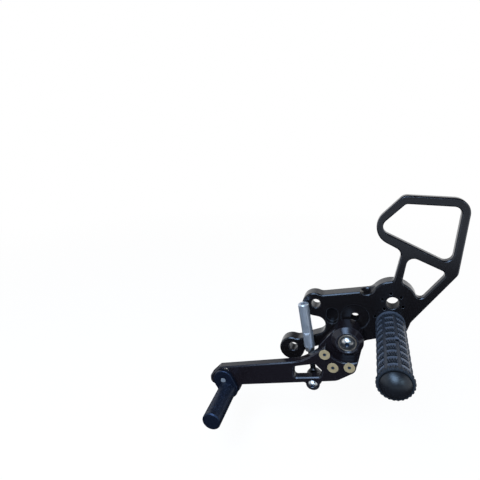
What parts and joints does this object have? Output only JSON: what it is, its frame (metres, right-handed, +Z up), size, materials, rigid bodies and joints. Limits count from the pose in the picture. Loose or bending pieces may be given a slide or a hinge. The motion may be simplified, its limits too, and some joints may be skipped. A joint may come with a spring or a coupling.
{
  "type": "motorcycle rear set footrest",
  "caption": "Gear-shift rear set: milled plate with frame bosses and open heel guard, treaded footpeg, and a bearing-mounted shift lever with toe peg and ball-ended link rod.",
  "frame": {"origin": "middle of the two frame bolts, on the plate's mounting face", "axes": "+X to the rear of the motorcycle, +Z up, +Y into the frame, square to the mounting face, so the footpeg points to -Y"},
  "size_m": [0.2156, 0.1223, 0.2103],
  "materials": {
    "plate_black": "satin black anodised, milled",
    "tread_black": "black anodised over fine knurling",
    "cap_plastic": "satin moulded black",
    "dark_steel": "black oxide",
    "bright_steel": "zinc plated, bright",
    "matte_steel": "matte stainless",
    "bearing_steel": "ground",
    "seal_rubber": "matte",
    "rod_aluminium": "bright turned"
  },
  "bodies": {
    "plate": {"main_plate": "plate_black", "footpeg_barrel": "tread_black", "footpeg_end_cap": "cap_plastic", "footpeg_bolt": "dark_steel", "footpeg_washer": "dark_steel", "footpeg_index_pin": "bright_steel", "pivot_sleeve": "bright_steel", "bearing_spacer": "bright_steel", "bearing_inner_rings": "bearing_steel", "bearing_balls": "bearing_steel", "pivot_bolt": "bright_steel"},
    "lever": {"lever_hub": "plate_black", "bearing_outer_rings": "bearing_steel", "bearing_seals": "seal_rubber", "shift_arm": "plate_black", "arm_screws": "matte_steel", "toe_peg": "tread_black", "toe_peg_screw": "bright_steel", "rod_end_ball": "bearing_steel", "rod_end_screw": "bright_steel", "rod_end_nut": "bright_steel"},
    "link": {"rod_end_body": "dark_steel", "rod_lock_nut": "bright_steel", "link_rod": "rod_aluminium"}
  },
  "joints": [
    {"name": "lever_pivot", "type": "hinge", "parent": "plate", "child": "lever", "pos_m": [0.041, -0.023, -0.0006], "axis": [0, 1, 0], "range_deg": [-15, 15]},
    {"name": "link_swing", "type": "hinge", "parent": "lever", "child": "link", "pos_m": [0.013, -0.01755, -0.0503], "axis": [0, 1, 0], "range_deg": [-25, 4]}
  ]
}
